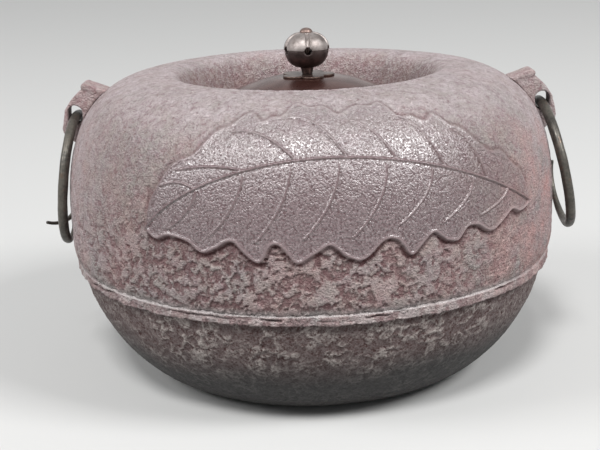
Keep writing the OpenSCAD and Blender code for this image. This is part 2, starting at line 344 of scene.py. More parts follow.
def addLamp(data, place):
    lamp = bpy.data.objects.new(data.name, data)
    lamp.location = place
    way = Vector(studio["aim"]) - Vector(place)
    lamp.rotation_euler = way.to_track_quat("-Z", "Y").to_euler()
    scene.collection.objects.link(lamp)


def addStudio():
    addFloor()
    sky = bpy.data.lights.new("softSky", "SUN")
    sky.angle = math.radians(studio["sky"]["angle"])
    sky.energy = studio["sky"]["strength"]
    addLamp(sky, studio["sky"]["from"])
    for name, place, size, power in studio["lamps"]:
        area = bpy.data.lights.new(name, "AREA")
        area.size = size
        area.energy = power
        addLamp(area, place)
    world = bpy.data.worlds.new("studioWorld")
    world.use_nodes = True
    tree = world.node_tree
    light = tree.nodes["Background"]
    plug(tree, light, {"Color": studio["worldColour"], "Strength": studio["worldLight"]})
    pale = put(tree, "ShaderNodeBackground", {"Color": (1, 1, 1, 1), "Strength": studio["backdrop"]})
    mix = put(tree, "ShaderNodeMixShader", {0: seenDirectly(tree), 1: light.outputs[0], 2: pale.outputs[0]})
    plug(tree, tree.nodes["World Output"], {0: mix.outputs[0]})
    scene.world = world


addStudio()
print("studio lit")


# old cast skin of the upper half: mauve-grey, red-brown where the crust has flaked, finer inside the leaf
upperSkin = {
    "skin": (0.302, 0.214, 0.226),
    "spot": (0.500, 0.446, 0.436),  # pale flecks
    "ash": (0.420, 0.392, 0.356),
    "rust": (0.660, 0.360, 0.335),
    # pale dust and painted light, on the top and the sides
    "dustAndLight": (0.700, 0.614, 0.632),
    "leaf": (0.104, 0.022, 0.034),
    "shade": (0.108, 0.058, 0.062),  # between the pebbles
    "pit": (0.220, 0.119, 0.122),  # where the crust is gone, and painted shade in the mouth and the brim's slits
    # painted shade beside the ribs and painted shadow under the leaf's edge, with dirt
    "creaseAndShade": (0.098, 0.034, 0.036),
    # pale wear and painted highlight on the leaf's edge, ribs, lip and crust tops
    "wearAndHighlight": (0.900, 0.840, 0.830),
    # noises: size in mm, detail, roughness, distortion
    "flecks": (2.4, 4, 0.62, 0.6),
    "pebbles": (0.95, 3, 0.55),
    "ashes": (7, 4, 0.6),
    "patches": (20, 5, 0.62),
    "mottle": (8, 3, 0.6, 1.2),
    # where each comes in: from, to, and its share at both ends
    "spotRange": (0.36, 0.66),
    "pebbleRange": (0.30, 0.62),
    "ashRange": (0.40, 0.62, 0, 0.60),
    "patchRange": (0.34, 0.80),
    "mottleRange": (0.36, 0.60, 0.30, 1.0),
    "dustAndLightRange": (0.30, 0.60, 0.50, 1.1),
    "leafInDustAndLight": (0, 0.5, 0.85, 0.15),
    "shadeOnLeaf": (0, 1, 0.35, 0.72),
    "shadeInDustAndLight": (0, 0.6, 1.0, 0.45),
    "raggedRange": (0.32, 0.68, 0.50, -0.50),
    "pitRange": (0.25, 1.20, 0, 0.85),
    "cleanRange": (0, 0.8, 1.0, 0.2),
    "roughRange": (0, 1, 0.85, 0.48),
    "ribPebble": 0.55,  # even tone of ribs and edge
    "raggedShare": 0.4,
    "wearAndHighlightShare": 0.75,
    "sheen": 0.28,
    # thin old lacquer, nearly all of it on the leaf
    "filmRange": (0, 1, 0.12, 1.0),
    "filmOnLeaf": (0, 1, 0.06, 1.0),
    "filmOnRib": (0, 1, 1.0, 0.50),
    "filmRough": 0.27,
    "filmIndex": 2.78,
    "filmDepth": 0.155,  # mm
    "pebbleDepth": 0.76,
    "flakeBump": (0.8, 0.7),  # mm, strength
}


def upperIron():
    look = upperSkin
    mat, tree, shader = newMaterial("upperIron")
    leaf, low, dustAndLight, rib = (field(tree, key) for key in ("leaf", "low", "dustAndLight", "rib"))
    fleck = noise(tree, *look["flecks"])
    fine = noise(tree, *look["pebbles"])
    pebble = blendValues(tree, rib, spread(tree, fine, *look["pebbleRange"]), look["ribPebble"])
    colour = blendColours(tree, spread(tree, fleck, *look["spotRange"]), look["skin"], look["spot"])
    ashen = spread(tree, noise(tree, *look["ashes"]), *look["ashRange"])
    colour = blendColours(tree, ashen, colour, look["ash"])
    patches = spread(tree, noise(tree, *look["patches"]), *look["patchRange"])
    colour = blendColours(tree, times(tree, patches, field(tree, "rusty")), colour, look["rust"])
    # pale dust and painted light on the top and the sides
    mottledDustAndLight = times(tree, dustAndLight, spread(tree, noise(tree, *look["mottle"]), *look["mottleRange"]))
    dustyAndLit = times(tree, mottledDustAndLight, spread(tree, fleck, *look["dustAndLightRange"]))
    colour = blendColours(tree, dustyAndLit, colour, look["dustAndLight"])
    bare = times(tree, leaf, spread(tree, dustAndLight, *look["leafInDustAndLight"]))
    colour = blendColours(tree, bare, colour, look["leaf"])
    between = maths(tree, "SUBTRACT", 1.0, pebble)
    between = times(tree, between, spread(tree, leaf, *look["shadeOnLeaf"]))
    between = times(tree, between, spread(tree, dustAndLight, *look["shadeInDustAndLight"]))
    colour = blendColours(tree, between, colour, look["shade"])
    ragged = blendValues(tree, look["raggedShare"], fleck, fine)
    # pit tone where the crust has flaked, with dirt and painted shade in the mouth and the brim's slits
    flakedAndShaded = maths(tree, "ADD", low, spread(tree, ragged, *look["raggedRange"]))
    flakedAndShaded = spread(tree, flakedAndShaded, *look["pitRange"])
    colour = blendColours(tree, flakedAndShaded, colour, look["pit"])
    # painted shade beside the ribs and painted shadow under the leaf's edge, with dirt
    colour = blendColours(tree, field(tree, "creaseAndShade"), colour, look["creaseAndShade"])
    # pale wear and painted highlight
    wearAndHighlight = times(tree, field(tree, "wearAndHighlight"), look["wearAndHighlightShare"])
    colour = blendColours(tree, wearAndHighlight, colour, look["wearAndHighlight"])
    clean = spread(tree, maths(tree, "MAXIMUM", flakedAndShaded, dustyAndLit), *look["cleanRange"])
    film = times(tree, spread(tree, pebble, *look["filmRange"]), clean)
    film = times(tree, film, spread(tree, leaf, *look["filmOnLeaf"]))
    film = times(tree, film, spread(tree, rib, *look["filmOnRib"]))
    crust = bump(tree, fleck, *look["flakeBump"])
    plug(tree, shader, {
        "Base Color": colour,
        "Roughness": spread(tree, times(tree, pebble, clean), *look["roughRange"]),
        "Specular IOR Level": look["sheen"],
        "Coat Weight": film,
        "Coat Roughness": look["filmRough"],
        "Coat IOR": look["filmIndex"],
        "Normal": bump(tree, pebble, look["pebbleDepth"], under=crust),
        "Coat Normal": bump(tree, pebble, look["filmDepth"]),
    })
    return mat


# crusted skin of the replaced bowl, smoother, greyer and darker towards the foot, the darkening partly
# painted shade of the underside
lowerSkin = {
    "pit": (0.064, 0.029, 0.027),
    "skin": (0.208, 0.165, 0.160),
    "spot": (0.520, 0.465, 0.435),  # on the ridges of the crust
    # dark grey of the smooth foot, partly painted shade of the underside
    "foot": (0.051, 0.055, 0.055),
    "flecks": (2.4, 4, 0.62, 0.8),
    "fine": (1.0, 3, 0.6),
    "fineShare": 0.5,
    "skinRange": (0.38, 0.58),
    "spotRange": (0.38, 0.56),
    "footShare": 0.85,
    "roughRange": (0.35, 0.65, 0.75, 0.42),
    "footRough": 0.12,  # added to it at the foot
    "sheen": 0.20,
    "depth": 1.4,  # mm
    "bumpRange": (0, 1, 1.0, 0.2),  # weaker at the foot
}


def lowerIron():
    look = lowerSkin
    mat, tree, shader = newMaterial("lowerIron")
    smooth, worm = field(tree, "smooth"), field(tree, "worm")
    fleck, fine = noise(tree, *look["flecks"]), noise(tree, *look["fine"])
    height = blendValues(tree, look["fineShare"], fleck, fine)
    colour = ramp(tree, height, look["skinRange"], look["pit"], look["skin"])
    lifted = times(tree, worm, spread(tree, height, *look["spotRange"]))
    colour = blendColours(tree, lifted, colour, look["spot"])
    # darker towards the foot, partly painted shade
    colour = blendColours(tree, times(tree, smooth, look["footShare"]), colour, look["foot"])
    rough = spread(tree, height, *look["roughRange"])
    plug(tree, shader, {
        "Base Color": colour,
        "Roughness": maths(tree, "ADD", rough, times(tree, smooth, look["footRough"])),
        "Specular IOR Level": look["sheen"],
        "Normal": bump(tree, height, look["depth"], spread(tree, smooth, *look["bumpRange"])),
    })
    return mat


# forged iron of the rings: dark, with an olive-brown sheen
ringSkin = {
    "dark": (0.034, 0.031, 0.029),
    "sheen": (0.128, 0.117, 0.098),
    "rust": (0.115, 0.075, 0.055),
    "wide": (14, 3, 0.6),
    "fine": (1.6, 3, 0.6),
    "specks": (3.2, 2),
    "fineShare": 0.4,
    "sheenRange": (0.35, 0.60),
    "speckRange": (0.60, 0.70, 0, 0.6),
    "roughRange": (0.3, 0.7, 0.50, 0.30),
    "metal": 0.55,
    "bump": (0.15, 0.6),  # mm, strength
}


def ringIron():
    look = ringSkin
    mat, tree, shader = newMaterial("ringIron")
    wide, fine = noise(tree, *look["wide"]), noise(tree, *look["fine"])
    mottle = blendValues(tree, look["fineShare"], wide, fine)
    colour = ramp(tree, mottle, look["sheenRange"], look["dark"], look["sheen"])
    specks = spread(tree, noise(tree, *look["specks"]), *look["speckRange"])
    plug(tree, shader, {
        "Base Color": blendColours(tree, specks, colour, look["rust"]),
        "Roughness": spread(tree, fine, *look["roughRange"]),
        "Metallic": look["metal"],
        "Normal": bump(tree, fine, *look["bump"]),
    })
    return mat


# patinated bronze, iron of the sounding plates, and the lacquer putty that holds them and seals the joint
# rough runs from the dark to the light patches; size, grain and depth are in mm
plainLooks = {
    "lidBronze": {
        "low": (0.068, 0.025, 0.021), "high": (0.138, 0.062, 0.051), "rough": (0.30, 0.20),
        "size": 18, "metal": 0.7, "grain": 0.9, "depth": 0.02,
    },
    "seatBronze": {
        "low": (0.069, 0.041, 0.035), "high": (0.150, 0.103, 0.085), "rough": (0.40, 0.28),
        "size": 6, "metal": 0.8, "grain": 0.7, "depth": 0.05,
    },
    "crownBronze": {
        "low": (0.165, 0.140, 0.130), "high": (0.390, 0.348, 0.332), "rough": (0.55, 0.42),
        "size": 5, "metal": 0.8, "grain": 0.6, "depth": 0.05,
    },
    "cupBronze": {
        "low": (0.053, 0.037, 0.035), "high": (0.131, 0.100, 0.094), "rough": (0.46, 0.32),
        "size": 5, "metal": 0.7, "grain": 0.6, "depth": 0.05,
    },
    "rivetCopper": {
        "low": (0.138, 0.094, 0.081), "high": (0.263, 0.188, 0.165), "rough": (0.52, 0.38),
        "size": 3, "metal": 0.8, "grain": 0.5, "depth": 0.05,
    },
    "plateIron": {
        "low": (0.063, 0.047, 0.042), "high": (0.167, 0.132, 0.114), "rough": (0.7, 0.5),
        "size": 3.5, "metal": 0, "depth": 0.3,
    },
    "lacquer": {
        "low": (0.014, 0.011, 0.010), "high": (0.050, 0.036, 0.031), "rough": (0.55, 0.35),
        "size": 5.0, "metal": 0, "depth": 0.25,
    },
}
plainNoise = {"wide": (4, 0.6), "fine": (2,), "colours": (0.36, 0.64)}
metalNoise = {"rough": (0.35, 0.65), "bump": 0.5}
dullNoise = {"rough": (0.3, 0.7), "bump": 0.8}


def plainFinish(name):
    look = plainLooks[name]
    kind = metalNoise if look["metal"] else dullNoise
    mat, tree, shader = newMaterial(name)
    wide = noise(tree, look["size"], *plainNoise["wide"])
    fine = noise(tree, look["grain"], *plainNoise["fine"]) if look["metal"] else wide
    plug(tree, shader, {
        "Base Color": ramp(tree, wide, plainNoise["colours"], look["low"], look["high"]),
        "Roughness": spread(tree, wide, *kind["rough"], *look["rough"]),
        "Metallic": look["metal"],
        "Normal": bump(tree, fine, look["depth"], kind["bump"]),
    })
    return mat


looks = {"upper": upperIron(), "lower": lowerIron(), "ring": ringIron()}
for key in plainLooks:
    looks[key] = plainFinish(key)
print("materials:", ", ".join(looks))


# leaf in low relief on the front of the shoulder, laid out by angle and by mm along the skin above the belly
leafShape = {
    "tip": -36.3,  # degrees round the body from the front
    "stem": 54.7,
    "foot": 15.5,  # mm above the belly where tip and stem lie
    "arch": 35.0,  # rise of the midrib between them
    "lean": 0.85,  # below 1 moves the fullest part towards the tip
    "patch": (9, 50, -6),  # skin that can carry it: middle and half width in degrees, lowest mm
    "upperWidth": 29.0,
    "lowerWidth": 43.0,
    "upperFull": 0.40,  # lower is fuller towards tip and stem
    "lowerFull": 0.80,
    # teeth: height, spacing and first crest as shares of the length, height of the small notches
    "upperTooth": (4.0, 0.187, 0.39, 1.9),
    "lowerTooth": (4.2, 0.117, 0.148, 0.4),
    "toothFade": 0.5,  # towards tip and stem
    "notchSpacing": 0.4,  # in that of the teeth
    "notchFade": 0.25,
    # uneven teeth: how much, waves and start
    "toothDrift": ((0.011, 17, 1), (0.004, 41, 0)),
    "toothSwell": (0.20, 21, 2),
    "lift": 0.80,  # how far the leaf stands out
    "rim": 0.65,  # extra height of its edge
    "rimLine": (0.6, 0.9),  # mm inside the edge, width
    "moat": 0.45,  # depth of the hollow outside the edge
    "moatLine": (-1.2, 1.1),
    "faint": 0.48,  # share of the relief left above the midrib
    # veins: first angle, step, count, lean of the first and of the last
    "upperVeins": (-24.5, 10.8, 7, 19.0, 7.0),
    "lowerVeins": (-24.0, 10.0, 8, 6.5, 9.0),
    "leanMost": 0.70,  # of the way to the tip
    "veinReach": 0.78,
    "veinBow": 2.2,  # mm that the upper ones arch
    "veinCurve": 1.8,
    "veinStart": 0.08,  # where the lower ones leave the midrib
    "veinHeight": 0.90,
    "veinWidth": 0.46,
    "veinTaper": 0.35,
    "ribHeight": 1.05,
    "ribWidth": 0.46,
    "creaseLine": (1.7, 0.8),  # place and width of the crease beside a rib, in the rib's width
    "creaseDepth": 0.40,
    "creaseOther": 0.35,  # share of it on the far side, as the painted shade falls mostly on one side
    "creaseShadeAndDirt": 0.9,  # painted shade and dirt that lie in it
    # painted shadow and dirt in the hollow outside the edge, less above the midrib
    "moatShadeAndDirt": 0.90,
    # pale wear and painted highlight on the edge and ribs
    "edgeWearAndHighlight": 0.18,
    "ribWearAndHighlight": 0.09,
}


def leafShare(angle):
    return np.clip((angle - leafShape["tip"]) / (leafShape["stem"] - leafShape["tip"]), 0, 1)


def midrib(angle):
    t = leafShare(angle) ** leafShape["lean"]
    return leafShape["foot"] + leafShape["arch"] * 4 * t * (1 - t)


def ripple(t, much, waves, start):
    return much * np.sin(waves * t + start)


def leafWidth(angle, side):
    s = leafShape
    t = leafShare(angle)
    body = np.sin(math.pi * t ** s["lean"])
    tall, spacing, first, small = s[side + "Tooth"]
    at = t + sum(ripple(t, *one) for one in s["toothDrift"])
    tall = tall * (1 + ripple(t, *s["toothSwell"]))
    wave = tall * np.cos(2 * math.pi * (at - first) / spacing) * body ** s["toothFade"]
    wave += small * np.cos(2 * math.pi * at / (s["notchSpacing"] * spacing)) * body ** s["notchFade"]
    return s[side + "Width"] * body ** s[side + "Full"] + wave


def leafEdge(angle, over):
    return midrib(angle) + np.where(over, leafWidth(angle, "upper"), -leafWidth(angle, "lower"))


def veinLines():
    s = leafShape
    lines = []
    for side, sign, start in (("upper", 1, 0), ("lower", -1, s["veinStart"])):
        first, step, count, leanFirst, leanLast = s[side + "Veins"]
        u = np.linspace(start, 1, 24)
        for i in range(count):
            root = first + i * step
            lean = leanFirst + (leanLast - leanFirst) * i / (count - 1)
            lean = min(lean, s["leanMost"] * (root - s["tip"]))  # the first ones stay inside the tip
            tip = np.array([root - lean])
            end = midrib(tip)[0] + sign * s["veinReach"] * leafWidth(tip, side)[0]
            middle = midrib(np.array([root]))[0]
            if side == "upper":
                angle = root - lean * u
                rise = 1 - (1 - u) ** s["veinCurve"]
                height = middle * (1 - rise) + end * rise + s["veinBow"] * np.sin(math.pi * u)
            else:
                angle = root - lean * u ** 2
                height = middle * (1 - u) + end * u
            lines.append((angle, height))
    return lines


def ridge(flat, line, height, width, taper):
    # height of a raised line on the unrolled skin, in mm, and share of the groove and its painted shade
    # beside it, mostly on one side
    top, creaseAndShade = np.zeros((2, len(flat)))
    reach = 4  # mm, nothing shows beyond
    near = np.all((flat > line.min(0) - reach) & (flat < line.max(0) + reach), axis=1)
    spots = flat[near]
    nearest = np.full(len(spots), 1e9)
    along, side = np.zeros((2, len(spots)))
    for k in range(len(line) - 1):
        way = line[k + 1] - line[k]
        off = spots - line[k]
        t = np.clip((off @ way) / (way @ way), 0, 1)
        gap = np.hypot(*(off - t[:, None] * way).T)
        closer = gap < nearest
        nearest[closer] = gap[closer]
        along[closer] = (k + t[closer]) / (len(line) - 1)
        side[closer] = (way[0] * off[:, 1] - way[1] * off[:, 0])[closer]
    strength = 1 - taper * along
    top[near] = height * strength * bell(nearest, 0, width)
    # the painted shade lies mostly on one side of each rib
    shade = np.where(side > 0, 1, leafShape["creaseOther"])
    place, wide = leafShape["creaseLine"]
    creaseAndShade[near] = shade * strength * bell(nearest, place * width, wide * width)
    return top, creaseAndShade


def leafRelief(angles, above, unroll):
    # height, share of leaf, ribs, wear with painted highlight, and dirt with painted shade and shadow at
    # each angle and mm above the belly
    s = leafShape
    flat = np.stack([angles * unroll, above], 1)
    over = above > midrib(angles)
    edge = leafEdge(angles, over)
    step = 0.2  # degrees over which the edge's slope is taken
    slope = (leafEdge(angles + step, over) - edge) / (step * unroll)
    gap = np.where(over, edge - above, above - edge) / np.sqrt(1 + slope ** 2)
    within = (angles > s["tip"]) & (angles < s["stem"])
    gap = np.where(within, gap, -9)  # well outside
    inside = smoothStep(-0.5, 0.5, gap)
    faint = np.where(over, s["faint"], 1.0)
    rim = bell(gap, *s["rimLine"]) * within
    moat = bell(gap, *s["moatLine"]) * within * faint
    height = inside * s["lift"] * faint + s["rim"] * faint * rim - s["moat"] * moat
    share = np.linspace(s["stem"], s["tip"], 80)
    middle = np.stack([share * unroll, midrib(share)], 1)
    lines, creaseAndShade = ridge(flat, middle, s["ribHeight"], s["ribWidth"], 0.0)
    for angle, line in veinLines():
        vein = np.stack([angle * unroll, line], 1)
        top, beside = ridge(flat, vein, s["veinHeight"], s["veinWidth"], s["veinTaper"])
        lines = np.maximum(lines, top)
        creaseAndShade = np.maximum(creaseAndShade, beside)
    rib = np.maximum(rim * faint, lines / s["ribHeight"])
    # painted highlight with wear on the edge and ribs
    wearAndHighlight = np.maximum(s["edgeWearAndHighlight"] * rim * faint, s["ribWearAndHighlight"] * lines)
    creaseAndShade = creaseAndShade * (1 - lines / s["ribHeight"])
    height += lines - s["creaseDepth"] * creaseAndShade
    # painted shadow in the hollow and painted shade beside the ribs, with dirt
    dirtAndShade = np.maximum(s["moatShadeAndDirt"] * moat, s["creaseShadeAndDirt"] * creaseAndShade)
    return height, inside, rib, wearAndHighlight, dirtAndShade


# upper casting, from the brim's underside over the crest and the lid's seat to the inside
# radii and heights in mm as in the part's source, arcs in degrees round the body from the front
upperShape = {
    "bellyZ": 88.0,
    "crestR": 74.5,
    "shoulder": 2.6,
    "wall": 5.2,
    "wellR": 62.8,
    "wellZ": 142.2,
    "rabbetR": 56.8,
    "rabbetZ": 140.6,
    "ledgeZ": 137.4,
    "throatR": 46.8,
    "throatZ": 131.4,
    "throatN": 1.2,
    "brimH": 5.0,
    "brimOut": 1.2,
    "neckIn": 3.2,
    "neckH": 10.0,
    "leafArc": (-46, 64),  # meshed more closely
    "leafStep": 0.2,
    "restStep": 0.5,
    "sideArc": (40, 80),  # where front turns into side
    "rough": {  # share of lumps and grain on each surface
        "skin": 1.0, "mouth": 0.7, "seat": 0.15, "inside": 0.5, "under": 0.6, "brim": 0.6, "lip": 0.6,
    },
    "uneven": (0.35, 42),  # height and size of the broad lumps
    "grain": (0.10, 1.7),
    "crust": {
        "thick": 0.85,
        "level": 0.6,  # share of it that lies below the plain skin
        "flakes": ((3.4, 1.6), 0.8),  # sizes, share of the finer ones
        "ragged": (2.2, 1.5),
        "edge": (-0.24, 0.16),  # closer together for sharper edges
        "zone": (88.0, 122.0),  # heights between which the flaking fades
        "drift": (9, 28),  # how far that border wanders, and over what size
        "least": 0.25,  # flaking above it
        "soundSides": 0.5,
        "soundRight": 0.65,
        "soundArc": (18, 55),
        # paler crust tops: wear and painted highlight
        "wearAndHighlight": 0.14,
        "wearAndHighlightFrom": (0.10, 0.55),
    },
    "brim": {
        "over": 0.5,  # how far it overhangs
        "break": 0.8,
        "breaks": ((17, 0.6), (5, 0.5)),  # size and share
        "slits": (12, 0.26, 5),  # size, how rare, depth
        "slitPlace": (0.8, 0.9, 14),  # above the middle, wander and its size
        "slitWidth": 0.45,
        "chips": ((7, 2.5), 0.5),
        "chipEdge": (0.15, 0.40),
        "chipDepth": 0.3,
        "grain": (0.3, 2.4),
        "lipOver": 0.5,  # shares of overhang and breaks on the lip
        "lipBreak": 0.4,
        "flare": 3.5,  # skin above the lip that is rubbed with it and painted bright with its highlight
        "lipWearAndHighlight": (1.1, 0.50, 7),  # wear and painted highlight of the lip: mean, change and its size
        "lipArc": (36, 66),
        "lipFade": 0.5,  # beyond that arc
        "flareWearAndHighlight": 0.5,
        "faceWorn": (0.15, 0.25),  # all over, on chips
        "dirtAndShade": (0.75, 6, -0.4, 0.3),  # dirt patches: how much, size and range
        # painted shade in the slits, by their depth
        "slitShade": 0.8,
        "flareClean": 0.8,
    },
    # painted shade inside the mouth
    "mouthShade": 0.5,
    "mouthFade": 2,
    "leafRub": (18, 50, 0.6),  # arc towards the stem, share rubbed off
    "rust": {
        "all": 0.45,
        "sides": 0.40,
        "right": 0.9,
        "rightArc": (22, 68),
        "rightZone": (112, 140),
        "leafLess": 0.6,
        "topZone": (128, 152),
        "topLess": 0.6,
    },
    # pale dust and painted light: the top and the sides lighter
    "dustAndLight": {
        "top": 0.75,
        "topZone": (132.0, 158.0),
        "sides": 0.85,
        "sideZone": (66, 84),
        # less of it inside the mouth, part of the painted shade there
        "mouthLess": 0.7,
        "rightLess": 0.4,
        "leafLess": 0.3,
    },
}


def upperLine():
    # radius and height round the wall's section, and the kind of surface at each point
    s = upperShape
    low, high = corners("upper_body")
    bodyR, crestZ, brimZ = high[0], high[2], low[2]
    bellyZ, wall, wellR, wellZ = s["bellyZ"], s["wall"], s["wellR"], s["wellZ"]
    rabbetR, rabbetZ, ledgeZ = s["rabbetR"], s["rabbetZ"], s["ledgeZ"]
    throatR, throatZ = s["throatR"], s["throatZ"]
    neckR, innerR = bodyR - s["neckIn"], bodyR - wall
    brimR, brimTop = neckR + s["brimOut"], brimZ + s["brimH"]
    neckTop = brimTop + s["neckH"]
    crest, underCrest = (s["crestR"], crestZ), (s["crestR"], crestZ - wall)
    stretches = [
        # kind, points kept a little off the corners to soften them, mm between points
        ("under", [(innerR, brimZ), (brimR - 0.3, brimZ)], 1.0),
        ("brim", [(brimR, brimZ + 0.3), (brimR, brimTop - 1.0)], 0.35),
        ("lip", [(brimR - 0.1, brimTop - 0.7), (neckR + 0.2, brimTop)], 0.35),
        ("skin", quarter((bodyR, neckTop), (neckR, brimTop), 2)[::-1][2:], 0.6),
        ("skin", [(bodyR, neckTop + 0.6), (bodyR, bellyZ - 0.6)], 0.6),
        ("skin", quarter((bodyR, bellyZ), crest, s["shoulder"]), 0.42),
        ("mouth", quarter((wellR, wellZ), crest, 2)[::-1][4:], 0.8),
        ("seat", [(wellR - 1, wellZ - 0.4), (rabbetR + 0.4, rabbetZ + 0.1)], 1.0),
        ("seat", [(rabbetR, rabbetZ - 0.4), (rabbetR, ledgeZ + 0.3)], 0.8),
        ("seat", [(rabbetR - 0.3, ledgeZ), (throatR + 0.6, ledgeZ)], 1.4),
        ("seat", [(throatR, ledgeZ - 0.6), (throatR, throatZ + 0.6)], 1.4),
        ("inside", quarter((wellR - wall, throatZ), (wellR + wall, wellZ), s["throatN"]), 2.5),
        ("inside", quarter((wellR + wall, wellZ + 0.5), underCrest, 2), 2.5),
        ("inside", quarter((innerR, bellyZ), underCrest, s["shoulder"])[::-1][3:], 3.0),
        ("inside", [(innerR, bellyZ - 2), (innerR, brimZ + 1)], 2.5),
    ]
    lines = [evenly(points, step) for kind, points, step in stretches]
    kinds = [[stretch[0]] * len(points) for stretch, points in zip(stretches, lines)]
    return np.concatenate(lines), np.concatenate(kinds)


def brimWear(line, kinds, angles, points):
    # push, dirt and painted shade in the slits of the broken face, push and wear with painted highlight of
    # the lip, chips
    s = upperShape["brim"]
    rows = len(line)
    z = points[:, 2]
    ring = turned(np.array([[line[:, 0].max(), 0.0]]), angles)

    def along(size, seed):
        return np.tile(grain(ring, size, seed), rows)  # changes round the brim only

    (size, share), (fineSize, fineShare) = s["breaks"]
    broken = s["break"] * (share * along(size, 5) + fineShare * along(fineSize, 6))
    size, rare, deep = s["slits"]
    slit = deep * np.clip(along(size, 8) - rare, 0, 1)
    lift, wander, size = s["slitPlace"]
    slitZ = line[kinds == "brim", 1].mean() + lift + wander * along(size, 17)
    depth = slit * bell(z, slitZ, s["slitWidth"])
    chips = smoothStep(*s["chipEdge"], twoGrains(points, *s["chips"], (10, 19)))
    height, size = s["grain"]
    face = s["over"] + broken - depth + height * grain(points, size, 7) - s["chipDepth"] * chips
    lip = s["over"] * s["lipOver"] + broken * s["lipBreak"]
    much, size, *span = s["dirtAndShade"]
    # dirt patches, and painted shade in the slits
    dirtAndShade = much * smoothStep(*span, grain(points, size, 18)) * (1 - chips) + s["slitShade"] * depth
    # painted highlight along the lip, with wear
    mean, change, size = s["lipWearAndHighlight"]
    bright = mean + change * along(size, 20)
    return face, dirtAndShade, lip, bright, chips


